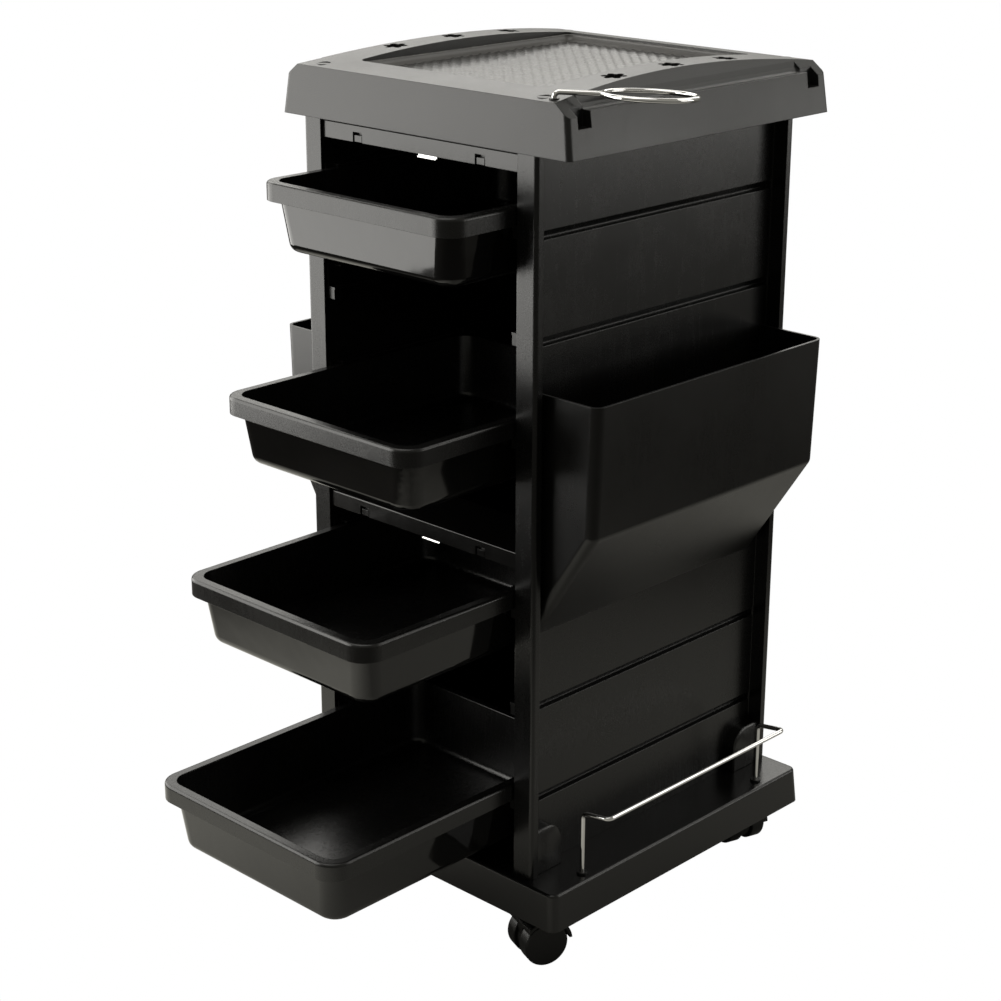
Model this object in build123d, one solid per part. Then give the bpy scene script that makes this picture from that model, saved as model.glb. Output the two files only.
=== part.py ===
"""Salon / spa trolley cart: four pull-out trays in a slatted plastic cabinet on twin-wheel casters.

Millimetres, +Z up, floor at z = 0, drawer side facing -Y. The base, the top tray and the casters
are modelled about X = Y = 0, the cabinet and its drawers about their own middle plane, which sits
CABINET_X to the side. On export everything is moved so that the origin is the middle of the
overall footprint, drawers and ring holder included. Every function returns one piece (or one
group of identical small pieces); the tables at the end name the pieces and write one STEP file
for each.
"""
import os
from math import cos, radians, sin

from build123d import *

os.makedirs("parts", exist_ok=True)

# ---------------------------------------------------------------- driving dimensions
ORIGIN_X, ORIGIN_Y = 22.0, -111.0      # middle of the overall footprint, seen from the middle of the base
CABINET_X = -5.5                       # middle plane of the cabinet, seen from the middle of the base
BASE_X, BASE_Y = 187.0, 196.5          # half sizes of the base at its lower edge
BASE_TOP_X, BASE_TOP_Y = 184.0, 193.5  # half sizes of the base deck
BASE_Z0, DECK_Z = 52.0, 90.0
BASE_WALL = 3.0

POST_IN, POST_OUT = 128.5, 152.0       # side panel: inner face and outer face of its flanges
WEB_OUT = 135.5                        # outer face of the recessed slatted web
POST_Y, FLANGE_T = 184.5, 9.5
POST_SCREW_X, POST_SCREW_Y = 140.5, 178.5   # screws into the ends of the posts
PANEL_TOP = 795.5
SLAT_Z = (161.0, 258.5, 356.0, 520.5, 618.0, 715.5)   # lower edge of each slat groove
SLAT_H, SLAT_DEPTH = 8.0, 5.2

TRAY_Z0 = PANEL_TOP                    # lower edge of the top tray skirt
TRAY_X, TRAY_Y = 186.0, 186.5
TRAY_TOP_X, TRAY_TOP_Y = 177.0, 182.6  # drafted half sizes at TRAY_REF_Z
TRAY_REF_Z = 860.0
EDGE_Z, CROWN = 843.3, 11.5            # deck height along the front edge, rise to the middle
CHAMFER_X, CHAMFER_LOW_X, CHAMFER_LOW_Z = 165.5, 181.0, 831.4
TRAY_WALL = 3.0
PAN_X, PAN_Y, PAN_FLOOR_Z = 120.0, 148.0, 837.0
MAT_PITCH = 9.07                       # spacing of the diagonal ribs of the mat
COVE_Y, COVE_Z = 154.0, 835.5          # side gutters between the hook slots
SLOT_Y0, SLOT_Y1, SLOT_Z = 155.0, 172.0, 821.0
TOOL_HOLES = [(sx * 140.5, y) for sx in (-1, 1) for y in (-79.0, 0.0, 79.0)]
PLUG_XY = [(sx * 142.0, sy * 171.0) for sx in (-1, 1) for sy in (-1, 1)]

DRAWER_X = 127.0                       # half width over the rim
RIM_H, RIM_R = 17.5, 22.0
BODY_TOP_X, BODY_LOW_X = 119.0, 111.5
DRAWER_WALL = 2.2
# name: (rim top z, front y as shown, length, depth)
DRAWERS = {
    "drawer_1": (748.0, -266.0, 325.0, 67.0),
    "drawer_2": (553.0, -320.0, 325.0, 67.0),
    "drawer_3": (385.5, -374.5, 325.0, 67.0),
    "drawer_4": (186.0, -418.5, 352.0, 71.0),
}
RUNNER_LEVELS = (748.0, 650.0, 553.0, 385.5, 286.0, 186.0)   # rim top height served by each pair
RUNNER_Y0, RUNNER_Y1 = -180.0, 168.0

BACK_Y0, BACK_Y1 = 175.0, 177.5        # back panel
BACK_SCREW_Y, BACK_SCREW_Z = 180.9, (150, 440, 740)

BEAM_Y0, BEAM_Y1, BEAM_H = -181.5, -109.0, 16.0
BEAM_TOP_Z, BEAM_MID_Z = 794.0, 423.0  # upper face of each cross beam
BEAM_HOOK_X = 80.0                     # hook windows in the front lip of each beam

POCKET_REACH = {"right": 212.5, "left": 207.5}   # outer face of each pocket at its mouth
POCKET_LEAN = 4.0                      # how far the outer face comes in down to the bend
POCKET_TOP_Z, POCKET_BEND_Z, POCKET_TIP_Z = 577.0, 449.5, 338.0
POCKET_Y, POCKET_WALL = 168.0, 2.6

WIRE_D = 4.6
RAIL_X, RAIL_OUT_X, RAIL_Y = 171.0, 204.0, 138.0
RAIL_LEG_Z, RAIL_BAR_Z = 155.0, 160.0
RING_XY, RING_Z, RING_ANGLE, RING_ARM, RING_D = (155.0, -173.0), 850.5, 44.0, 40.7, 82.4

WHEEL_D, WHEEL_W, WHEEL_GAP = 46.0, 16.2, 12.0
TRAIL = 17.0
STEM_D, STEM_FOOT_D, AXLE_D = 8.0, 6.4, 5.0
HOOD_WEB = 11.2                        # thickness of the hood's middle plate between the wheels
# name: (x, y, direction in which the wheels trail, degrees from +X)
CASTERS = {
    "front_left": (-148.0, -154.0, -108.0),
    "front_right": (148.0, -154.0, -111.0),
    "rear_left": (-148.0, 154.0, 70.0),
    "rear_right": (148.0, 154.0, 163.0),
}


# ---------------------------------------------------------------- helpers
def block(x0, x1, y0, y1, z0, z1):
    size = (x1 - x0, y1 - y0, z1 - z0)
    return Pos((x0 + x1) / 2, (y0 + y1) / 2, (z0 + z1) / 2) * Box(*size)


def rod(x, y, z0, z1, d):
    return Pos(x, y, (z0 + z1) / 2) * Cylinder(d / 2, z1 - z0)


def rod_x(x0, x1, y, z, d):
    return Pos((x0 + x1) / 2, y, z) * Rot(0, 90, 0) * Cylinder(d / 2, x1 - x0)


def rod_y(x, y0, y1, z, d):
    return Pos(x, (y0 + y1) / 2, z) * Rot(90, 0, 0) * Cylinder(d / 2, y1 - y0)


def rounded(half_x, half_y, z, r, y_mid=0.0):
    return Plane.XY.offset(z) * Pos(0, y_mid) * RectangleRounded(2 * half_x, 2 * half_y, r)


def frustum(low, high):
    """Solid between two rounded rectangles, each (half x, half y, z, corner radius, y mid)."""
    return loft(Sketch() + [rounded(*low), rounded(*high)], ruled=True)


def prism_y(points, y0, y1):
    """Extrude an XZ outline from y0 to y1."""
    face = make_face(Polyline(*[(x, y0, z) for x, z in points], close=True))
    return extrude(face, amount=y1 - y0, dir=(0, 1, 0))


def prism_x(points, x0, x1):
    """Extrude a YZ outline from x0 to x1."""
    face = make_face(Polyline(*[(x0, y, z) for y, z in points], close=True))
    return extrude(face, amount=x1 - x0, dir=(1, 0, 0))


def mirrored(shape, plane=Plane.YZ):
    return mirror(shape, about=plane)


def edges_near(shape, test):
    return ShapeList([e for e in shape.edges() if test(e.center())])


def as_group(solids):
    return Compound(children=[s if isinstance(s, Solid) else s.solid() for s in solids])


def crown_z(y):
    return EDGE_Z + CROWN * (1 - (y / TRAY_TOP_Y) ** 2)


# ---------------------------------------------------------------- base
def base_tray():
    outer = frustum((BASE_X, BASE_Y, BASE_Z0, 9, 0), (BASE_TOP_X, BASE_TOP_Y, DECK_Z, 9, 0))
    outer = fillet(edges_near(outer, lambda c: abs(c.Z - DECK_Z) < 0.1), 3.0)
    w = BASE_WALL
    hollow = frustum((BASE_X - w, BASE_Y - w, BASE_Z0 - 1, 6, 0),
                     (BASE_TOP_X - w, BASE_TOP_Y - w, DECK_Z - w, 6, 0))
    shell = outer - hollow
    roof = DECK_Z - w
    for x in (-60, 60):
        shell += block(x - 1.2, x + 1.2, -190, 190, roof - 12, roof + 1)
    for y in (-70, 70):
        shell += block(-180, 180, y - 1.2, y + 1.2, roof - 12, roof + 1)
    for x, y, _ in CASTERS.values():
        shell += rod(x, y, BASE_Z0 + 4, roof + 1, 20)
        shell -= rod(x, y, BASE_Z0, DECK_Z - 4, STEM_D)
    for sx in (-1, 1):
        for sy in (-1, 1):
            shell -= rod(sx * RAIL_X, sy * RAIL_Y, BASE_Z0, DECK_Z + 5, 8.0)
            x, y = CABINET_X + sx * POST_SCREW_X, sy * POST_SCREW_Y
            shell -= rod(x, y, BASE_Z0, DECK_Z + 5, 4.4)
    return shell


# ---------------------------------------------------------------- cabinet
def side_panel(right=True):
    panel = block(POST_IN, WEB_OUT, -POST_Y, POST_Y, DECK_Z, PANEL_TOP)
    for sy in (-1, 1):
        y0, y1 = sorted((sy * POST_Y, sy * (POST_Y - FLANGE_T)))
        flange = block(POST_IN, POST_OUT, y0, y1, DECK_Z, PANEL_TOP)
        flange = fillet(edges_near(flange, lambda c: c.X > POST_OUT - 0.1 and abs(c.Z - 442.75) < 1
                                   and abs(c.Y) > POST_Y - 0.1), 4.0)
        panel += flange
        # rounded gusset at the foot of the recess
        g0, reach, top = POST_Y - FLANGE_T, 24.0, 46.0
        gusset = block(WEB_OUT, POST_OUT - 4.0, g0 - reach, g0 + 2, DECK_Z, DECK_Z + top)
        gusset = fillet(edges_near(gusset, lambda c: c.Z > DECK_Z + top - 0.1
                                   and c.Y < g0 - reach + 0.1), 20.0)
        panel += gusset if sy > 0 else mirrored(gusset, Plane.XZ)
    inner_y = POST_Y - FLANGE_T
    for z in SLAT_Z:
        x_in = WEB_OUT - SLAT_DEPTH               # louvre that runs inwards towards its lower edge
        outline = [(WEB_OUT + 1, z + SLAT_H), (WEB_OUT, z + SLAT_H), (x_in, z + 1.8), (x_in, z + 0.8),
                   (WEB_OUT + 1, z - 0.8)]
        panel -= prism_y(outline, -inner_y + 1.5, inner_y - 1.5)
    for z in RUNNER_LEVELS:                       # snap sockets for the runners
        for y in (-150.0, 0.0, 150.0):
            panel -= rod_x(POST_IN - 1, POST_IN + 2.6, y, z - RIM_H / 2, 5.0)
    for sy in (-1, 1):                            # tray and base screw pilots
        panel -= rod(POST_SCREW_X, sy * POST_SCREW_Y, PANEL_TOP - 16, PANEL_TOP + 1, 3.6)
        panel -= rod(POST_SCREW_X, sy * POST_SCREW_Y, DECK_Z - 1, DECK_Z + 16, 3.6)
    for z in (BEAM_TOP_Z - 9, BEAM_MID_Z - 9):    # beam screw pilots
        panel -= rod_x(POST_IN - 1, POST_IN + 11, -176.0, z, 2.8)
    for z in BACK_SCREW_Z:                        # back panel screw pilots
        panel -= rod_x(POST_IN - 1, POST_IN + 11, BACK_SCREW_Y, z, 2.8)
    for z in (388.0, 510.0):                      # pocket screw pilots
        for y in (-110, 110):
            panel -= rod_x(POST_IN + 1.5, WEB_OUT + 1, y, z, 2.8)
    return panel if right else mirrored(panel)


def back_panel():
    y0, y1 = BACK_Y0, BACK_Y1
    panel = block(-POST_IN, POST_IN, y0, y1, DECK_Z, PANEL_TOP - 4)
    for z in (190, 290, 390, 490, 590, 690):      # stiffening ribs on the outside
        panel += block(-POST_IN + 6, POST_IN - 6, y1 - 0.5, y1 + 2.5, z - 1.5, z + 1.5)
    for sx in (-1, 1):                            # screw lugs
        for z in BACK_SCREW_Z:
            x0, x1 = sorted((sx * POST_IN, sx * (POST_IN - 12)))
            lug = block(x0, x1, y1 - 0.5, 184.0, z - 6, z + 6)
            panel += lug
            panel -= rod_x(x0 - 1, x1 + 1, BACK_SCREW_Y, z, 3.4)
    return panel


def back_panel_screws():
    out = []
    for sx in (-1, 1):
        for z in BACK_SCREW_Z:
            shank = rod_x(POST_IN - 13.2, POST_IN + 9, BACK_SCREW_Y, z, 2.8)
            head = rod_x(POST_IN - 15.0, POST_IN - 12.0, BACK_SCREW_Y, z, 5.4)
            screw = shank + head
            out.append(screw if sx > 0 else mirrored(screw))
    return as_group(out)


def cross_beam(top_z):
    z0 = top_z - BEAM_H
    beam = block(-POST_IN, POST_IN, BEAM_Y0, BEAM_Y0 + 2.6, z0, top_z)
    beam += block(-POST_IN, POST_IN, BEAM_Y0, BEAM_Y1, top_z - 2.6, top_z)
    beam += block(-POST_IN, POST_IN, BEAM_Y1 - 2.6, BEAM_Y1, z0 + 4, top_z)
    beam = fillet(edges_near(beam, lambda c: abs(c.Z - top_z) < 0.1 and abs(c.X) < 1
                             and abs(c.Y - (BEAM_Y0 + BEAM_Y1) / 2) > 20), 1.2)
    for x in (-BEAM_HOOK_X, BEAM_HOOK_X):         # hook windows in the front lip, each with its tongue
        beam -= block(x - 6.3, x + 6.3, BEAM_Y0 - 1, BEAM_Y0 + 4, z0 - 1, z0 + 9.4)
        beam += block(x - 4.9, x + 4.9, BEAM_Y0 + 4.4, BEAM_Y0 + 6.2, z0 + 0.3, top_z - 1)
        beam += block(x - 4.9, x + 4.9, BEAM_Y0 + 0.8, BEAM_Y0 + 5.0, z0 + 0.3, z0 + 6.4)
    for sx in (-1, 1):                            # end lugs for the screws
        x0, x1 = sorted((sx * POST_IN, sx * (POST_IN - 6)))
        beam += block(x0, x1, BEAM_Y0 + 1, BEAM_Y0 + 10.5, z0 + 1, top_z - 1)
        beam -= rod_x(x0 - 1, x1 + 1, -176.0, top_z - 9, 3.2)
    return beam


def rear_rail():
    """Plain strip that ties the tops of the two side panels together at the back."""
    z0 = PANEL_TOP - 22
    rail = block(-POST_IN, POST_IN, 170.0, 174.0, z0, PANEL_TOP - 2)
    rail += block(-POST_IN, POST_IN, 150.0, 174.0, PANEL_TOP - 5, PANEL_TOP - 2)
    return rail


def frame_screws():
    out = []
    for z in (BEAM_TOP_Z - 9, BEAM_MID_Z - 9):
        shank = rod_x(POST_IN - 7.5, POST_IN + 9, -176.0, z, 2.8)
        head = rod_x(POST_IN - 8.4, POST_IN - 6.0, -176.0, z, 5.0)
        out += [shank + head, mirrored(shank + head)]
    return as_group(out)


def beam_clips():
    """Bright spring clips in the middle of each cross beam."""
    out = []
    for top_z in (BEAM_TOP_Z, BEAM_MID_Z):
        z0 = top_z - BEAM_H
        y0 = BEAM_Y0 + 2.6
        clip = block(-1, 23, y0, y0 + 1.0, z0 - 3.2, top_z - 2.6)
        clip += block(-1, 23, y0 - 1.6, y0 + 1.0, z0 - 3.2, z0 - 2.2)
        out.append(clip)
    return as_group(out)


def runner(level, right=True):
    low, high = level - RIM_H - 0.25, level + 0.5
    back = block(POST_IN - 1.0, POST_IN, RUNNER_Y0, RUNNER_Y1, low - 5, high + 4)
    ledge = block(DRAWER_X - 8.6, POST_IN, RUNNER_Y0, RUNNER_Y1, low - 2.6, low)
    keeper = block(DRAWER_X - 6.5, POST_IN, RUNNER_Y0 + 10, RUNNER_Y1, high, high + 2.4)
    part = back + ledge + keeper
    part += block(DRAWER_X - 8.0, POST_IN, RUNNER_Y0, RUNNER_Y0 + 9, low - 12, low - 1)   # front end tab
    part += block(DRAWER_X - 6.0, POST_IN, RUNNER_Y1 - 3, RUNNER_Y1, low - 1, high + 1)      # rear stop
    for y in (-150.0, 0.0, 150.0):
        part += rod_x(POST_IN - 1, POST_IN + 2.4, y, level - RIM_H / 2, 5.0)
    return part if right else mirrored(part)


def base_screws():
    out = []
    for sx in (-1, 1):
        for sy in (-1, 1):
            x, y = sx * POST_SCREW_X, sy * POST_SCREW_Y
            head = rod(x, y, DECK_Z - BASE_WALL - 2.6, DECK_Z - BASE_WALL, 8.0)
            out.append(head + rod(x, y, DECK_Z - BASE_WALL - 1, DECK_Z + 14, 3.6))
    return as_group(out)


# ---------------------------------------------------------------- drawers
def drawer(rim_z, y0, length, depth):
    mid, half = y0 + length / 2, length / 2
    body_y = half - (DRAWER_X - BODY_TOP_X)
    low_y = body_y - (BODY_TOP_X - BODY_LOW_X)
    floor_z = rim_z - depth
    body = frustum((BODY_LOW_X, low_y, floor_z, 20, mid), (BODY_TOP_X, body_y, rim_z, 18, mid))
    body = fillet(edges_near(body, lambda c: abs(c.Z - floor_z) < 0.1), 10.0)
    w = DRAWER_WALL
    drop = 2.0
    k = (BODY_TOP_X - BODY_LOW_X) / depth
    cavity = frustum((BODY_LOW_X - w + k * w, low_y - w + k * w, floor_z + w, 18, mid),
                     (BODY_TOP_X - w + k * drop, body_y - w + k * drop, rim_z + drop, 16, mid))
    cavity = fillet(edges_near(cavity, lambda c: abs(c.Z - floor_z - w) < 0.1), 8.0)
    rim = extrude(rounded(DRAWER_X, half, rim_z - RIM_H, RIM_R, mid), RIM_H)
    rim = fillet(edges_near(rim, lambda c: abs(c.Z - rim_z) < 0.1), 3.0)
    hollow = rounded(DRAWER_X - 2.4, half - 2.4, rim_z - RIM_H - 1, RIM_R - 2.4, mid)
    tray = rim - extrude(hollow, RIM_H - 1.6) + body - cavity
    return fillet(edges_near(tray, lambda c: abs(c.Z - rim_z) < 0.1), 0.8)


# ---------------------------------------------------------------- top tray
def deck_profile(z_low):
    """YZ outline under the crowned deck."""
    y = TRAY_Y + 4
    edge = Polyline((0, -y, crown_z(y)), (0, -y, z_low), (0, y, z_low), (0, y, crown_z(y)))
    arc = ThreePointArc((0, -y, crown_z(y)), (0, 0, crown_z(0)), (0, y, crown_z(y)))
    face = make_face(edge.edges() + arc.edges())
    return extrude(face, amount=200, both=True, dir=(1, 0, 0))


def side_cuts(right=True):
    """Corner chamfers, side gutter and hook slots of one long side of the tray."""
    slope = (CHAMFER_X - CHAMFER_LOW_X) / (EDGE_Z - CHAMFER_LOW_Z)
    far_z = TRAY_REF_Z + 4
    top_x = CHAMFER_X + slope * (far_z - EDGE_Z)
    low_x, low_z = CHAMFER_LOW_X - slope * 6, CHAMFER_LOW_Z - 6
    chamfer = [(low_x, low_z), (low_x + 20, low_z), (low_x + 20, far_z), (top_x, far_z)]
    cuts = [prism_y(chamfer, -200, -SLOT_Y0), prism_y(chamfer, SLOT_Y0, 200)]
    lean = 0.93
    gutter_top = CHAMFER_X - lean * (far_z - EDGE_Z)
    gutter = [(gutter_top, far_z), (CHAMFER_X - 1.5, EDGE_Z + 1.5), (CHAMFER_X + 1.2, 839.6),
              (CHAMFER_X + 4.2, 836.9), (CHAMFER_X + 8.0, COVE_Z), (CHAMFER_X + 40, COVE_Z),
              (CHAMFER_X + 40, far_z)]
    cuts.append(prism_y(gutter, -COVE_Y, COVE_Y))
    for y0, y1 in ((-SLOT_Y1, -SLOT_Y0), (SLOT_Y0, SLOT_Y1)):
        cuts.append(block(171.5, 195, y0, y1, SLOT_Z, far_z))
    for y0, y1 in ((-SLOT_Y0, -COVE_Y), (COVE_Y, SLOT_Y0)):
        cuts.append(prism_y(gutter, y0, y1))
    return cuts if right else [mirrored(c) for c in cuts]


def tool_hole(x, y):
    """Lobed opening that grips tool handles of different sizes."""
    hole = rod(x, y, 815, 870, 16.6)
    for i in range(6):
        a = radians(60 * i + 30)
        hole += rod(x + 8.6 * cos(a), y + 8.6 * sin(a), 815, 870, 6.8)
    return hole


def top_tray():
    outer = frustum((TRAY_X, TRAY_Y, TRAY_Z0, 5, 0), (TRAY_TOP_X, TRAY_TOP_Y, TRAY_REF_Z, 5, 0))
    outer = outer & deck_profile(TRAY_Z0 - 1)
    w = TRAY_WALL
    inner = frustum((TRAY_X - w, TRAY_Y - w, TRAY_Z0 - 1, 3, 0),
                    (TRAY_TOP_X - 12.5, TRAY_TOP_Y - w, 834.0 - w, 3, 0))
    tray = outer - inner
    for right in (True, False):
        for cut in side_cuts(right):
            tray -= cut
    pan = frustum((PAN_X - 2, PAN_Y - 2, PAN_FLOOR_Z, 7, 0),
                  (PAN_X + 1.4, PAN_Y + 1.4, TRAY_REF_Z + 5, 9, 0))
    tray -= pan
    # seats on the side panels, bosses for plugs, tool holes and the ring socket
    for sx in (-1, 1):
        x0, x1 = sorted((CABINET_X + sx * (POST_IN + 1), CABINET_X + sx * (POST_OUT - 1)))
        for sy in (-1, 1):
            y0, y1 = sorted((sy * 172.5, sy * 183.0))
            tray += block(x0, x1, y0, y1, TRAY_Z0, 832)
    for x, y in TOOL_HOLES:
        tray -= tool_hole(x, y)
    for x0, x1 in ((-156, -124), (124, 156)):     # hollows under the side borders
        for y0, y1 in ((-148, -95), (-64, -15), (15, 64), (95, 148)):
            tray -= block(x0, x1, y0, y1, TRAY_Z0, 838 if abs(y0 + y1) > 200 else 846)
    for y0, y1 in ((-168, -153), (153, 168)):     # hollows under the front and rear borders
        tray -= block(-118, 118, y0, y1, TRAY_Z0, 838)
    for x, y in PLUG_XY:
        tray += rod(x, y, TRAY_Z0 + 12, 838, 17)
        tray -= rod(x, y, 839.5, 870, 13.0)
    sx, sy = RING_XY
    tray += rod(sx, sy, 820, 838, 15)
    tray -= rod(sx, sy, 822, 870, 9.0)
    for sx in (-1, 1):
        for sy in (-1, 1):
            px, py = CABINET_X + sx * POST_SCREW_X, sy * POST_SCREW_Y
            tray -= rod(px, py, TRAY_Z0 - 1, 839.6, 4.4)
            tray -= rod(px, py, 827, 839.6, 8.4)
    return tray


def top_mat():
    """Anti-slip sheet lying in the pan, ribbed on the diagonal."""
    z0, base, rib = PAN_FLOOR_Z, 1.2, 1.1
    outline = rounded(PAN_X - 2.6, PAN_Y - 2.6, z0, 6, 0)
    mat = extrude(outline, base)
    reach = (PAN_X + PAN_Y) / 2 ** 0.5
    n = int(reach / MAT_PITCH)
    strips = [Pos(0, i * MAT_PITCH) * Rectangle(2 * reach, 3.2) for i in range(-n, n + 1)]
    ribs = Rot(0, 0, 45) * (Sketch() + strips)
    inner = RectangleRounded(2 * PAN_X - 9, 2 * PAN_Y - 9, 5)
    return mat + extrude(Pos(0, 0, z0 + base - 0.2) * (ribs & inner), rib + 0.2)


def deck_plugs():
    out = []
    for x, y in PLUG_XY:
        z1 = crown_z(y) - 0.1
        plug = rod(x, y, 839.5, z1, 12.9)
        out.append(fillet(edges_near(plug, lambda c: abs(c.Z - z1) < 0.1), 0.6))
    return as_group(out)


def tray_screws():
    out = []
    for x in (-POST_SCREW_X, POST_SCREW_X):
        for y in (-POST_SCREW_Y, POST_SCREW_Y):
            out.append(rod(x, y, 827, 829.6, 7.6) + rod(x, y, PANEL_TOP - 14, 828, 3.6))
    return as_group(out)


# ---------------------------------------------------------------- accessories
def side_pocket(side):
    top_x = POCKET_REACH[side]
    bend_x = top_x - POCKET_LEAN

    def shell(grow, y_half, r):
        dx = grow
        outline = [(WEB_OUT, POCKET_TOP_Z + (0 if grow == 0 else 3)),
                   (top_x + dx, POCKET_TOP_Z + (0 if grow == 0 else 3)),
                   (bend_x + dx, POCKET_BEND_Z + 0.35 * grow),
                   (WEB_OUT, POCKET_TIP_Z - 1.75 * grow)]
        solid = prism_y(outline, -y_half, y_half)
        mid_z = (POCKET_TOP_Z + POCKET_BEND_Z) / 2
        corner = edges_near(solid, lambda c: abs(c.Z - mid_z) < 4 and abs(c.Y) > y_half - 0.1 and c.X > 195)
        slant_z = (POCKET_BEND_Z + POCKET_TIP_Z) / 2
        slant = edges_near(solid, lambda c: abs(c.Z - slant_z) < 6 and abs(c.Y) > y_half - 0.1
                           and 150 < c.X < 190)
        bend = edges_near(solid, lambda c: abs(c.Y) < 1 and abs(c.Z - POCKET_BEND_Z) < 5 and c.X > 190)
        return fillet(corner + slant + bend, r)

    pocket = shell(0, POCKET_Y, 10.0) - shell(-POCKET_WALL, POCKET_Y - POCKET_WALL, 7.4)
    for z in (388.0, 510.0):                      # tie strips that take the screws
        strip = block(WEB_OUT, WEB_OUT + 2.6, -POCKET_Y + 1, POCKET_Y - 1, z - 9, z + 9)
        for y in (-110, 110):
            strip -= rod_x(WEB_OUT - 1, WEB_OUT + 4, y, z, 3.2)
        pocket += strip
    return pocket if side == "right" else mirrored(pocket)


def pocket_screws():
    out = []
    for z in (388.0, 510.0):
        for y in (-110, 110):
            shank = rod_x(WEB_OUT - 4, WEB_OUT + 3.2, y, z, 2.8)
            screw = shank + rod_x(WEB_OUT + 2.6, WEB_OUT + 4.4, y, z, 6.4)
            out += [screw, mirrored(screw)]
    return as_group(out)


def bottle_rail(right=True):
    y, bend_r = RAIL_Y, 6.0
    foot = DECK_Z - 8
    pts = [(RAIL_X, -y, foot), (RAIL_X, -y, RAIL_LEG_Z), (RAIL_OUT_X, -y, RAIL_BAR_Z),
           (RAIL_OUT_X, y, RAIL_BAR_Z), (RAIL_X, y, RAIL_LEG_Z), (RAIL_X, y, foot)]
    path = FilletPolyline(*pts, radius=bend_r)
    start = Plane(origin=pts[0], z_dir=(0, 0, 1))
    wire = sweep(start * Circle(WIRE_D / 2), path=path)
    return wire if right else mirrored(wire)


def rail_ferrules():
    out = []
    for sx in (-1, 1):
        for sy in (-1, 1):
            x, y = sx * RAIL_X, sy * RAIL_Y
            bush = rod(x, y, DECK_Z - 8, DECK_Z + 1, 8.0) + rod(x, y, DECK_Z, DECK_Z + 2.2, 10.5)
            out.append(bush - rod(x, y, DECK_Z - 9, DECK_Z + 3, WIRE_D))
    return as_group(out)


def ring_holder():
    x, y = RING_XY
    a = radians(RING_ANGLE)
    sag = 2.2
    arm_end = (x + RING_ARM * cos(a), y + RING_ARM * sin(a), RING_Z - 1.6)
    path = FilletPolyline((x, y, 828), (x, y, RING_Z), arm_end, radius=4.5)
    wire = sweep(Plane(origin=(x, y, 828), z_dir=(0, 0, 1)) * Circle(WIRE_D / 2), path=path)
    reach = RING_ARM + RING_D / 2
    centre = (x + reach * cos(a), y + reach * sin(a), RING_Z - 3.2)
    ring = Location(centre, (0, 0, RING_ANGLE)) * Rot(-3.2, sag, 0) * Torus(RING_D / 2, WIRE_D / 2)
    return wire + ring


def ring_socket():
    x, y = RING_XY
    top = crown_z(y) + 0.8
    bush = rod(x, y, 822, top - 1, 9.0) + rod(x, y, top - 1.8, top, 9.0)
    return bush - rod(x, y, 826, top + 1, WIRE_D + 0.1)


# ---------------------------------------------------------------- casters
def place_caster(shape, name):
    x, y, angle = CASTERS[name]
    return Location((x, y, 0), (0, 0, angle)) * shape


def caster_stem():
    """Fixed steel stem with a grip groove; its foot turns in the hood."""
    stem = rod(0, 0, 51, DECK_Z - 4, STEM_D) + rod(0, 0, 30.5, 52, STEM_FOOT_D)
    stem += rod(0, 0, 50.2, 52.6, 13.0)
    groove = rod(0, 0, 70, 72, STEM_D + 1) - rod(0, 0, 69, 73, STEM_D - 1.2)
    return stem - groove


def caster_hood():
    axle_z = WHEEL_D / 2
    web_half = HOOD_WEB / 2
    web = rod_y(TRAIL, -web_half, web_half, axle_z, 40)
    boss = rod(0, 0, 28.0, 50.0, 13.6)
    link = block(0, TRAIL, -web_half, web_half, 28.0, 42.0)
    r_in, r_out = WHEEL_D / 2 + 1.3, WHEEL_D / 2 + 4.2
    half = WHEEL_GAP / 2 + WHEEL_W + 0.6
    cover = rod_y(TRAIL, -half, half, axle_z, 2 * r_out)
    cover -= rod_y(TRAIL, -half - 1, half + 1, axle_z, 2 * r_in)
    cover = cover & block(-12, TRAIL + 19, -half, half, 26.0, 60)
    centre_web = rod_y(TRAIL, -web_half, web_half, axle_z, 2 * r_in + 1)
    centre_web = centre_web & block(-12, TRAIL + 19, -6, 6, 24, 60)
    hood = web + link + cover + centre_web
    clear = rod_y(TRAIL, WHEEL_GAP / 2, half + 1, axle_z, WHEEL_D + 1.6)
    clear += rod_y(TRAIL, -half - 1, -WHEEL_GAP / 2, axle_z, WHEEL_D + 1.6)
    hood += boss - clear
    hood -= rod(0, 0, 30.0, 51, STEM_FOOT_D + 0.1)
    return hood - rod_y(TRAIL, -6, 6, axle_z, AXLE_D)


def caster_axle():
    half = WHEEL_GAP / 2 + WHEEL_W - 2.0
    return rod_y(TRAIL, -half, half, WHEEL_D / 2, AXLE_D)


def caster_wheel(outer=True):
    z = WHEEL_D / 2
    y0 = WHEEL_GAP / 2
    wheel = rod_y(TRAIL, y0, y0 + WHEEL_W, z, WHEEL_D)
    wheel = fillet(edges_near(wheel, lambda c: abs(c.Y - y0 - WHEEL_W) < 0.1), 3.0)
    wheel = fillet(edges_near(wheel, lambda c: abs(c.Y - y0) < 0.1), 1.2)
    wheel -= rod_y(TRAIL, y0 - 1, y0 + WHEEL_W - 1.9, z, AXLE_D + 0.1)
    return wheel if outer else mirrored(wheel, Plane.XZ)


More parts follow.
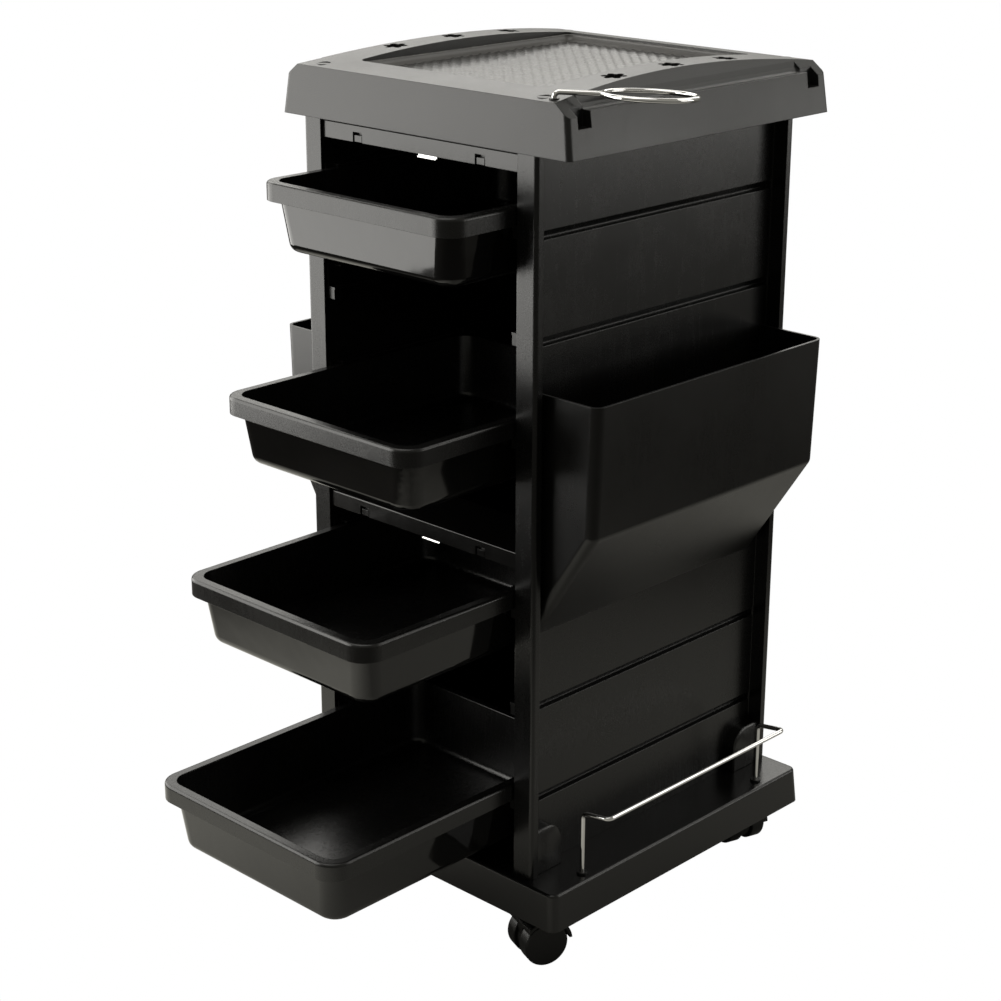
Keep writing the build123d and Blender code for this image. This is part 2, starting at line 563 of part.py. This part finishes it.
# ---------------------------------------------------------------- assembly
ON_CABINET = {
    "side_panel_left": side_panel(False),
    "side_panel_right": side_panel(True),
    "back_panel": back_panel(),
    "back_panel_screws": back_panel_screws(),
    "cross_beam_top": cross_beam(BEAM_TOP_Z),
    "cross_beam_middle": cross_beam(BEAM_MID_Z),
    "rear_rail": rear_rail(),
    "frame_screws": frame_screws(),
    "beam_clips": beam_clips(),
    "base_screws": base_screws(),
    "tray_screws": tray_screws(),
    "side_pocket_left": side_pocket("left"),
    "side_pocket_right": side_pocket("right"),
    "pocket_screws": pocket_screws(),
}
for name, (rim_z, y0, length, depth) in DRAWERS.items():
    ON_CABINET[name] = drawer(rim_z, y0, length, depth)
for i, level in enumerate(RUNNER_LEVELS, 1):
    ON_CABINET[f"runner_left_{i}"] = runner(level, False)
    ON_CABINET[f"runner_right_{i}"] = runner(level, True)

PIECES = {
    "base_tray": base_tray(),
    "top_tray": top_tray(),
    "top_mat": top_mat(),
    "deck_plugs": deck_plugs(),
    "bottle_rail_left": bottle_rail(False),
    "bottle_rail_right": bottle_rail(True),
    "rail_ferrules": rail_ferrules(),
    "ring_holder": ring_holder(),
    "ring_socket": ring_socket(),
}
PIECES |= {name: Pos(CABINET_X, 0, 0) * shape for name, shape in ON_CABINET.items()}
for name in CASTERS:
    PIECES[f"caster_stem_{name}"] = place_caster(caster_stem(), name)
    PIECES[f"caster_hood_{name}"] = place_caster(caster_hood(), name)
    PIECES[f"caster_axle_{name}"] = place_caster(caster_axle(), name)
    PIECES[f"caster_wheel_a_{name}"] = place_caster(caster_wheel(True), name)
    PIECES[f"caster_wheel_b_{name}"] = place_caster(caster_wheel(False), name)

for name, shape in PIECES.items():
    export_step(Pos(-ORIGIN_X, -ORIGIN_Y, 0) * shape, f"parts/{name}.step")
print(len(PIECES), "pieces written")
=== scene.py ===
"""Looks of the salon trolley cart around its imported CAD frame. Metres, +Z up, drawer side facing -Y."""
import math

import bmesh
import bpy
from mathutils import Matrix, Vector


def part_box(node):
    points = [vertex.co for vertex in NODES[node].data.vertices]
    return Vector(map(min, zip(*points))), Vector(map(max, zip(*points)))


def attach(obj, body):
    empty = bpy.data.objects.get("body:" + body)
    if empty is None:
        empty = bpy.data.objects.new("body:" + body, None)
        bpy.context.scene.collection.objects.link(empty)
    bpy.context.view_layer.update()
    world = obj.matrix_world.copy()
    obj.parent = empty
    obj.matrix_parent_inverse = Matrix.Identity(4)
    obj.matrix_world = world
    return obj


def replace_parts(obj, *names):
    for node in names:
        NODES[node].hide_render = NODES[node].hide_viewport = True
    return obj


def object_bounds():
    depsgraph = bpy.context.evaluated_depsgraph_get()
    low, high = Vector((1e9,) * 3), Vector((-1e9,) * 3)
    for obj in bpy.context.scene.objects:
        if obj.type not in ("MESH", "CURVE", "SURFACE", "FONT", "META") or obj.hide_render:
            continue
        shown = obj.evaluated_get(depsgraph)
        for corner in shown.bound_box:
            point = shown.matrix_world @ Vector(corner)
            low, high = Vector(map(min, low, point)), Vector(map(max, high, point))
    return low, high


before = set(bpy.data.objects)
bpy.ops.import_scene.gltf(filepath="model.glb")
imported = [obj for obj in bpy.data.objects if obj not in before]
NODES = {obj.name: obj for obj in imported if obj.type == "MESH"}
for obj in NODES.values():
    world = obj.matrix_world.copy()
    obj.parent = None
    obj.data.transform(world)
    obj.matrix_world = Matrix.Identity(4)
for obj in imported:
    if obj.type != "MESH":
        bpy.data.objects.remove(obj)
cad_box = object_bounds()
scene = bpy.context.scene
MM = 0.001

# ---------------------------------------------------------------- driving values
CAM_POS = (1.38347, -1.42822, 1.13665)
CAM_AZIMUTH, CAM_ELEVATION, CAM_ROLL = 43.855, 19.511, 0.16
CAM_LENS, CAM_SENSOR = 77.633, 36.0

LIGHT_TINT = (1.0, 0.985, 0.945)              # colour of the area lights
ROOM_TINT = (1.0, 0.975, 0.86, 1.0)          # what the floor and the room give back

ROOM_LEVEL = 0.25                             # brightness of the room for all but camera rays
CART_Y = 0.111                                # middle of the cart, which the glow of the floor is centred on
# name: (place, aim, width, height, radiance)
LIGHTS = {
    "wall_back_left": ((-2.15, 2.0, 2.20), (0.0, 0.1, 0.9), 4.4, 1.7, 2.1),
    "box_front_left": ((-0.97, -0.72, 0.86), (0.12, -0.02, 0.86), 1.55, 1.31, 3.75),
    "box_right_back": ((1.9, 1.7, 0.70), (0, 0.1, 0.70), 1.8, 0.55, 2.9),
    "box_right_high": ((1.8, 1.8, 2.0), (0.0, 0.1, 0.84), 2.0, 0.8, 1.4),
    "high_back": ((1.0, 2.1, 2.85), (0.15, 0.1, 0.84), 1.6, 1.2, 1.5),
    "overhead": ((-0.3, -0.4, 2.6), (0.0, 0.1, 0.5), 1.8, 1.8, 1.5),
}

MAT_PITCH, MAT_CROSS = 9.07 * MM, 3.1 * MM    # diagonal ribs and the fine lines across them
POST_FLANGE = 9.5 * MM                        # thickness of a side panel's post


# ---------------------------------------------------------------- node helpers
class Nodes:
    """Small wrapper that adds and links shader nodes in one call."""

    def __init__(self, name):
        self.mat = bpy.data.materials.new(name)
        self.mat.use_nodes = True
        self.tree = self.mat.node_tree
        self.tree.nodes.clear()
        self.out = self.tree.nodes.new("ShaderNodeOutputMaterial")

    def add(self, kind, inputs=None, **props):
        node = self.tree.nodes.new("ShaderNode" + kind)
        for key, value in props.items():
            setattr(node, key, value)
        for key, value in (inputs or {}).items():
            self.feed(node.inputs[key], value)
        return node

    def feed(self, socket, value):
        if isinstance(value, bpy.types.NodeSocket):
            self.tree.links.new(value, socket)
        else:
            socket.default_value = value

    def position(self):
        return self.add("TexCoord").outputs["Object"]

    def noise(self, vector, scale, detail=3.0, rough=0.5):
        node = self.add("TexNoise", {"Vector": vector, "Scale": scale, "Detail": detail, "Roughness": rough})
        return node.outputs["Fac"]

    def remap(self, value, low, high, from_low=0.3, from_high=0.7):
        node = self.add("MapRange", {"Value": value, "From Min": from_low, "From Max": from_high,
                                     "To Min": low, "To Max": high})
        return node.outputs["Result"]

    def math(self, op, a, b=0.0):
        node = self.add("Math", operation=op)
        self.feed(node.inputs[0], a)
        self.feed(node.inputs[1], b)
        return node.outputs[0]

    def blend(self, factor, a, b):
        node = self.add("Mix", data_type="RGBA")
        self.feed(node.inputs["Factor"], factor)
        self.feed(node.inputs["A"], a)
        self.feed(node.inputs["B"], b)
        return node.outputs["Result"]

    def bump(self, height, strength, distance, normal=None):
        inputs = {"Height": height, "Strength": strength, "Distance": distance}
        if normal is not None:
            inputs["Normal"] = normal
        return self.add("Bump", inputs).outputs["Normal"]


def rgb(value, warm=0.0):
    return (value * (1 + warm), value, value * (1 - warm), 1.0)


def outside_mask(n, centre, below_z):
    """1 on the outward faces of a drawer's body under its rim, 0 on the rim and on the inside."""
    geometry = n.add("NewGeometry")
    away = n.add("VectorMath", operation="SUBTRACT")
    n.feed(away.inputs[0], n.position())
    n.feed(away.inputs[1], centre)
    flat = n.add("VectorMath", operation="MULTIPLY")
    n.feed(flat.inputs[0], away.outputs[0])
    n.feed(flat.inputs[1], (1.0, 1.0, 0.0))
    dot = n.add("VectorMath", operation="DOT_PRODUCT")
    n.feed(dot.inputs[0], flat.outputs[0])
    n.feed(dot.inputs[1], geometry.outputs["Normal"])
    outward = n.math("GREATER_THAN", dot.outputs["Value"], 0.004)
    split = n.add("SeparateXYZ", {"Vector": n.position()})
    low = n.math("LESS_THAN", split.outputs["Z"], below_z)
    return n.math("MULTIPLY", outward, low)


def plastic(name, tone, rough, spread, grain=0.0, grain_scale=1400.0, ripple=0.0, edge=0.0009,
            specular=0.5, warm=0.03, dust=0.004, zone=None, zone_rough=0.07):
    """Moulded black plastic: fine grain, slow gloss changes, rounded and slightly rubbed edges.
    zone is (centre, height) of a body that is polished on the outside under that height."""
    n = Nodes(name)
    pos = n.position()
    slow = n.noise(pos, 9.0, 4.0, 0.6)
    fine = n.noise(pos, grain_scale, 2.0, 0.5)
    scuff = n.noise(n.add("Mapping", {"Vector": pos, "Scale": (1.0, 1.0, 0.12)}).outputs[0], 160.0, 5.0, 0.65)
    normal_in = n.add("NewGeometry").outputs["Normal"]
    round_normal = n.add("Bevel", {"Radius": edge}, samples=4).outputs["Normal"]
    facing = n.add("VectorMath", operation="DOT_PRODUCT")
    n.feed(facing.inputs[0], normal_in)
    n.feed(facing.inputs[1], round_normal)
    rub = n.remap(facing.outputs["Value"], 1.0, 0.0, 0.80, 0.995)
    wear = n.math("MULTIPLY", rub, n.remap(scuff, 0.0, 1.0, 0.42, 0.62))
    base = n.blend(n.remap(slow, 0.0, 1.0), rgb(tone * 0.8, warm), rgb(tone * 1.25, warm))
    dust_amount = n.math("MULTIPLY", n.remap(scuff, 0.0, 1.0, 0.55, 0.8), 0.5)
    dusty = n.blend(dust_amount, base, rgb(tone + dust, warm))
    colour = n.blend(n.math("MULTIPLY", wear, 0.6), dusty, rgb(tone * 3.0 + 0.006, warm))
    rough_slow = n.remap(slow, rough - spread, rough + spread)
    rough_fine = n.math("ADD", rough_slow, n.remap(fine, -spread * 0.6, spread * 0.6))
    rough_all = n.math("ADD", rough_fine, n.math("MULTIPLY", n.remap(scuff, 0.0, 1.0, 0.5, 0.8), spread))
    grain_strength = grain
    if zone:
        polished = outside_mask(n, *zone)
        keep = n.math("SUBTRACT", 1.0, polished)
        shine = n.math("MULTIPLY", polished, n.remap(slow, zone_rough * 0.8, zone_rough * 1.25))
        rough_all = n.math("ADD", n.math("MULTIPLY", keep, rough_all), shine)
        grain_strength = n.math("MULTIPLY", keep, grain)
    normal = round_normal
    if ripple:
        normal = n.bump(n.noise(pos, 22.0, 2.0), ripple, 0.004, normal)
    if grain:
        normal = n.bump(fine, grain_strength, 0.00025, normal)
    bsdf = n.add("BsdfPrincipled", {"Base Color": colour, "Roughness": rough_all, "Normal": normal})
    bsdf.inputs["Specular IOR Level"].default_value = specular
    bsdf.inputs["IOR"].default_value = 1.5
    n.feed(n.out.inputs["Surface"], bsdf.outputs[0])
    return n.mat


def metal(name, tone, rough, spread, brushed=0.0):
    """Plated wire or zinc steel with faint drawing lines and cloudy gloss."""
    n = Nodes(name)
    pos = n.position()
    cloud = n.noise(pos, 60.0, 4.0, 0.6)
    lines = n.noise(n.add("Mapping", {"Vector": pos, "Scale": (1.0, 0.05, 1.0)}).outputs[0], 2600.0, 3.0)
    colour = n.blend(n.remap(cloud, 0.0, 1.0), rgb(tone * 0.9, 0.012), rgb(tone, 0.0))
    rough_all = n.math("ADD", n.remap(cloud, rough - spread, rough + spread),
                       n.remap(lines, -spread * 0.5, spread * 0.5))
    normal = n.bump(lines, brushed, 0.00008)
    bsdf = n.add("BsdfPrincipled", {"Base Color": colour, "Metallic": 1.0, "Roughness": rough_all,
                                    "Normal": normal})
    n.feed(n.out.inputs["Surface"], bsdf.outputs[0])
    return n.mat


MATERIALS = {
    "tray": plastic("tray_plastic", 0.005, 0.33, 0.03, grain=0.50, grain_scale=1100.0, edge=0.0011),
    "panel": plastic("panel_plastic", 0.0022, 0.26, 0.03, grain=0.24, grain_scale=1300.0,
                     edge=0.0010, dust=0.001),
    "pocket": plastic("pocket_plastic", 0.002, 0.30, 0.03, grain=0.26, grain_scale=1500.0,
                      edge=0.0007, dust=0.001),
    "base": plastic("base_plastic", 0.002, 0.22, 0.03, grain=0.14, grain_scale=1300.0,
                    edge=0.0010, dust=0.001),
    "inner": plastic("inner_plastic", 0.003, 0.30, 0.04, grain=0.12, edge=0.0006),
    "beam": plastic("beam_plastic", 0.006, 0.20, 0.05, grain=0.10, ripple=0.10, edge=0.0006),
    "mat": plastic("mat_plastic", 0.040, 0.27, 0.04, grain=0.10, grain_scale=1800.0, edge=0.0004),
    # painted highlight: the cove's tone of 0.10, far lighter than the tray's black, stands in for the glare
    # on the pan's fillet
    "cove": plastic("cove_plastic", 0.10, 0.34, 0.04, grain=0.2, grain_scale=1500.0, edge=0.0004),
    "caster": plastic("caster_plastic", 0.0012, 0.26, 0.04, grain=0.06,
                      edge=0.0008, specular=0.32, dust=0.001),
    "wheel": plastic("wheel_plastic", 0.0015, 0.30, 0.05, grain=0.12,
                     edge=0.0008, specular=0.32, dust=0.001),
    "chrome": metal("chrome_plate", 0.88, 0.055, 0.02, brushed=0.02),
    "zinc": metal("zinc_steel", 0.62, 0.28, 0.08, brushed=0.25),
    "clip": metal("clip_steel", 0.9, 0.18, 0.05, brushed=0.1),
}
DRAWER_RIM = 17.5 * MM
for name in ("drawer_1", "drawer_2", "drawer_3", "drawer_4"):
    low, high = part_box(name)
    body = (tuple((low + high) / 2), high.z - DRAWER_RIM + 0.2 * MM)
    MATERIALS[name] = plastic(name + "_plastic", 0.003, 0.27, 0.03, grain=0.20, grain_scale=1500.0,
                              ripple=0.09, edge=0.0006, dust=0.002, zone=body)


def material_key(node):
    groups = (("caster_wheel", "wheel"), ("caster_hood", "caster"), ("caster_", "zinc"),
              ("beam_clips", "clip"), ("top_tray", "tray"), ("deck_plugs", "tray"), ("ring_socket", "tray"),
              ("top_mat", "mat"), ("side_panel", "panel"), ("side_pocket", "pocket"), ("base_tray", "base"),
              ("cross_beam", "beam"), ("bottle_rail", "chrome"), ("ring_holder", "chrome"),
              ("rail_ferrules", "inner"))
    if node in MATERIALS:
        return node
    if node.endswith("screws"):
        return "zinc"
    for start, key in groups:
        if node.startswith(start):
            return key
    return "inner"


def paint(obj, key):
    obj.data.materials.clear()
    obj.data.materials.append(MATERIALS[key])


for name, obj in NODES.items():
    paint(obj, material_key(name))


# ---------------------------------------------------------------- mesh helpers
def smooth_by_angle(mesh, degrees=30.0):
    mesh.shade_smooth()
    mesh.set_sharp_from_angle(angle=math.radians(degrees))


def add_mesh(name, verts, faces, key, body):
    mesh = bpy.data.meshes.new(name)
    mesh.from_pydata(verts, [], faces)
    mesh.validate()
    mesh.update()
    obj = bpy.data.objects.new(name, mesh)
    scene.collection.objects.link(obj)
    smooth_by_angle(mesh, 40.0)
    paint(obj, key)
    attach(obj, body)
    return obj


# ---------------------------------------------------------------- ribbed mat in the tray
def ribbed_mat():
    """Sheet with rounded diagonal ribs and a fine pattern across them, closed below."""
    low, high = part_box("top_mat")
    corner, step = 6 * MM, 1.0 * MM
    nx = round((high.x - low.x) / step)
    ny = round((high.y - low.y) / step)
    floor, top = low.z, high.z
    mid = (low + high) / 2

    def on_outline(x, y):
        """Pull points past the rounded corners back onto the corner arcs."""
        cx = (high.x - low.x) / 2 - corner
        cy = (high.y - low.y) / 2 - corner
        dx, dy = abs(x - mid.x) - cx, abs(y - mid.y) - cy
        if dx > 0 and dy > 0:
            reach = math.hypot(dx, dy)
            if reach > corner:
                dx, dy = dx * corner / reach, dy * corner / reach
                x = mid.x + math.copysign(cx + dx, x - mid.x)
                y = mid.y + math.copysign(cy + dy, y - mid.y)
        return x, y

    def height(x, y, border):
        across = (x - mid.x + y - mid.y) / math.sqrt(2)
        along = (y - mid.y - x + mid.x) / math.sqrt(2)
        rib = (0.5 + 0.5 * math.cos(2 * math.pi * across / MAT_PITCH)) ** 1.4
        cross = 0.5 + 0.5 * math.cos(2 * math.pi * along / MAT_CROSS)
        ribbed = (top - 0.1 * MM - 0.80 * MM * (1 - rib)) - 0.05 * MM * cross * (1 - 0.4 * rib)
        return ribbed * border + (floor + 0.8 * MM) * (1 - border)

    verts, faces = [], []
    for j in range(ny + 1):
        for i in range(nx + 1):
            x, y = on_outline(low.x + (high.x - low.x) * i / nx, low.y + (high.y - low.y) * j / ny)
            edge = min(i, j, nx - i, ny - j)
            verts.append((x, y, height(x, y, min(1.0, edge / 3.0))))
    row = nx + 1
    for j in range(ny):
        for i in range(nx):
            a = j * row + i
            faces.append((a, a + 1, a + row + 1, a + row))
    rim = ([i for i in range(row)] + [j * row + nx for j in range(1, ny + 1)]
           + [ny * row + i for i in range(nx - 1, -1, -1)] + [j * row for j in range(ny - 1, 0, -1)])
    first = len(verts)
    verts += [(verts[v][0], verts[v][1], floor) for v in rim]
    count = len(rim)
    for k in range(count):
        nxt = (k + 1) % count
        faces.append((rim[nxt], rim[k], first + k, first + nxt))
    faces.append(tuple(first + k for k in reversed(range(count))))
    return add_mesh("mat_sheet", verts, faces, "mat", "cabinet")


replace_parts(ribbed_mat(), "top_mat")


# ---------------------------------------------------------------- small moulded details
def rounded_loop(half_x, half_y, radius, centre, steps=8):
    """Points of a rounded rectangle, anticlockwise, as (x, y)."""
    points = []
    for k, (sx, sy) in enumerate(((1, 1), (-1, 1), (-1, -1), (1, -1))):
        for i in range(steps + 1):
            a = math.radians(90 * k + 90 * i / steps)
            points.append((centre.x + sx * (half_x - radius) + radius * math.cos(a),
                           centre.y + sy * (half_y - radius) + radius * math.sin(a)))
    return points


def frame_ring(name, profile, half_x, half_y, radius, centre, key, body):
    """Closed frame: every profile point (inset, z) is carried round a rounded rectangle."""
    verts, faces = [], []
    for inset, z in profile:
        loop = rounded_loop(half_x - inset, half_y - inset, max(radius - inset, 0.8 * MM), centre)
        verts += [(x, y, z) for x, y in loop]
    count = len(verts) // len(profile)
    for p in range(len(profile)):
        q = (p + 1) % len(profile)
        for i in range(count):
            j = (i + 1) % count
            faces.append((p * count + i, p * count + j, q * count + j, q * count + i))
    return add_mesh(name, verts, faces, key, body)


def pan_cove():
    """Concave fillet between the floor and the walls of the pan, painted lighter than the tray: the light
    tone is a painted highlight that stands in for its glare.
    """
    low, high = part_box("top_mat")
    mid = (low + high) / 2
    half_x, half_y = (high.x - low.x) / 2 + 1.2 * MM, (high.y - low.y) / 2 + 1.2 * MM
    reach, rise, base = 8.5 * MM, 6.8 * MM, high.z - 0.5 * MM
    profile = [(0.0, low.z + 0.1 * MM), (reach, low.z + 0.1 * MM)]
    for i in range(9):
        a = math.radians(90 * i / 8)
        profile.append((reach * (1 - math.sin(a)), base + rise * (1 - math.cos(a))))
    frame_ring("pan_cove", profile, half_x, half_y, 8 * MM, mid, "cove", "cabinet")


pan_cove()


def foot_gusset(name, panel, side_y):
    """Rounded gusset between a post and the foot of a side panel: a plate with a bevelled outer edge.
    side_y is -1 at the front post and 1 at the rear one."""
    low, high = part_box(panel)
    right = panel.endswith("right")
    web_depth, back_off = 7 * MM, 3.6 * MM        # inner face of the web and outer face of the gusset
    reach, top, corner, lip = 39 * MM, 47 * MM, 21 * MM, 1.5 * MM
    if right:
        web, out = low.x + web_depth, high.x - back_off
    else:
        web, out = high.x - web_depth, low.x + back_off
    post = low.y + POST_FLANGE if side_y < 0 else high.y - POST_FLANGE
    foot, inward = low.z + 0.4 * MM, -side_y
    outline = [(post - inward * 0.4 * MM, foot), (post + inward * reach, foot)]
    for i in range(11):
        a = math.radians(90 * i / 10)
        outline.append((post + inward * (reach - corner + corner * math.cos(a)),
                        foot + top - corner + corner * math.sin(a)))
    outline.append((post - inward * 0.4 * MM, foot + top))
    rings = [(web - (out - web) * 0.02, 0.0), (out - math.copysign(lip, out - web), 0.0), (out, lip)]
    verts, faces, count = [], [], len(outline)
    for x, inset in rings:
        for y, z in outline:
            k = 1 - inset / reach
            verts.append((x, post + (y - post) * k, foot + (z - foot) * k))
    flip = right == (inward > 0)
    for p in range(len(rings) - 1):
        for i in range(count):
            j = (i + 1) % count
            face = (p * count + i, p * count + j, (p + 1) * count + j, (p + 1) * count + i)
            faces.append(face if flip else face[::-1])
    last = tuple((len(rings) - 1) * count + i for i in range(count))
    first = tuple(reversed(range(count)))
    faces += [last, first] if flip else [last[::-1], first[::-1]]
    add_mesh(name, verts, faces, "panel", "cabinet")


for side in ("right", "left"):
    foot_gusset("gusset_front_" + side, "side_panel_" + side, -1)
    foot_gusset("gusset_rear_" + side, "side_panel_" + side, 1)


# ---------------------------------------------------------------- stage, light and camera
def stage_floor():
    """Pale floor. Camera rays see even white without shadow; all other rays see a dim glow that is brighter
    towards the front left, dark near the cart and on its right, and faint again far away."""
    n = Nodes("stage_floor")
    path = n.add("LightPath").outputs["Is Camera Ray"]
    seen = n.add("Emission", {"Color": rgb(1.0), "Strength": 1.0})
    split = n.add("SeparateXYZ", {"Vector": n.position()})
    x, y = split.outputs["X"], n.math("SUBTRACT", split.outputs["Y"], CART_Y)
    radius = n.math("SQRT", n.math("ADD", n.math("MULTIPLY", x, x), n.math("MULTIPLY", y, y)))
    towards_key = n.math("MULTIPLY", n.math("ADD", x, y), -0.7)
    inside = n.remap(radius, 1.0, 0.0, 0.80, 1.06)
    outside = n.remap(radius, 0.0, 1.0, 1.45, 1.95)
    platform = n.math("MULTIPLY", inside, n.remap(towards_key, 0.28, 0.95, 0.0, 0.56))
    far = n.math("MULTIPLY", outside, 0.08)
    shade = n.add("AmbientOcclusion", {"Distance": 0.35}, samples=8).outputs["AO"]
    glow = n.math("MULTIPLY", n.math("ADD", n.math("ADD", platform, far), 0.02), n.math("POWER", shade, 1.6))
    felt = n.add("AddShader")
    n.feed(felt.inputs[0], n.add("Emission", {"Color": ROOM_TINT, "Strength": glow}).outputs[0])
    n.feed(felt.inputs[1], n.add("BsdfDiffuse", {"Color": rgb(0.035, 0.08)}).outputs[0])
    mix = n.add("MixShader", {"Fac": path})
    n.feed(mix.inputs[1], felt.outputs[0])
    n.feed(mix.inputs[2], seen.outputs[0])
    n.feed(n.out.inputs["Surface"], mix.outputs[0])
    bm = bmesh.new()
    bmesh.ops.create_circle(bm, cap_ends=True, segments=96, radius=30.0)
    mesh = bpy.data.meshes.new("stage_floor")
    bm.to_mesh(mesh)
    bm.free()
    floor = bpy.data.objects.new("stage_floor", mesh)
    scene.collection.objects.link(floor)
    mesh.materials.append(n.mat)
    floor.location.z = cad_box[0].z - 0.0005


def softbox(name, place, aim, size_x, size_y, radiance):
    """Rectangular area light of a given brightness, turned towards aim."""
    light = bpy.data.lights.new(name, "AREA")
    light.shape = "RECTANGLE"
    light.size, light.size_y = size_x, size_y
    light.energy = radiance * math.pi * size_x * size_y
    light.color = LIGHT_TINT
    obj = bpy.data.objects.new(name, light)
    obj.location = place
    obj.rotation_euler = (Vector(aim) - Vector(place)).to_track_quat("-Z", "Y").to_euler()
    obj.visible_camera = False
    scene.collection.objects.link(obj)


def studio():
    """White behind the object for camera rays, a dim warm room for all others, and the area lights."""
    world = bpy.data.worlds.new("studio")
    scene.world = world
    world.use_nodes = True
    tree = world.node_tree
    back = tree.nodes["Background"]
    path = tree.nodes.new("ShaderNodeLightPath")
    level = tree.nodes.new("ShaderNodeMapRange")
    level.inputs["To Min"].default_value = ROOM_LEVEL
    level.inputs["To Max"].default_value = 1.0
    tree.links.new(path.outputs["Is Camera Ray"], level.inputs["Value"])
    tint = tree.nodes.new("ShaderNodeMix")
    tint.data_type = "RGBA"
    tree.links.new(path.outputs["Is Camera Ray"], tint.inputs["Factor"])
    tint.inputs["A"].default_value = ROOM_TINT
    tint.inputs["B"].default_value = (1, 1, 1, 1)
    tree.links.new(tint.outputs["Result"], back.inputs["Color"])
    tree.links.new(level.outputs["Result"], back.inputs["Strength"])
    for name, values in LIGHTS.items():
        softbox(name, *values)
    scene.view_settings.view_transform = "Standard"


def camera():
    data = bpy.data.cameras.new("camera")
    data.lens, data.sensor_width = CAM_LENS, CAM_SENSOR
    data.clip_start, data.clip_end = 0.05, 100.0
    obj = bpy.data.objects.new("camera", data)
    scene.collection.objects.link(obj)
    a, e = math.radians(CAM_AZIMUTH), math.radians(CAM_ELEVATION)
    back = Vector((math.sin(a) * math.cos(e), -math.cos(a) * math.cos(e), math.sin(e)))
    right = Vector((math.cos(a), math.sin(a), 0.0))
    up = back.cross(right)
    turn = Matrix((right, up, back)).transposed() @ Matrix.Rotation(math.radians(CAM_ROLL), 3, "Z")
    obj.matrix_world = Matrix.Translation(CAM_POS) @ turn.to_4x4()
    scene.camera = obj


stage_floor()
studio()
camera()
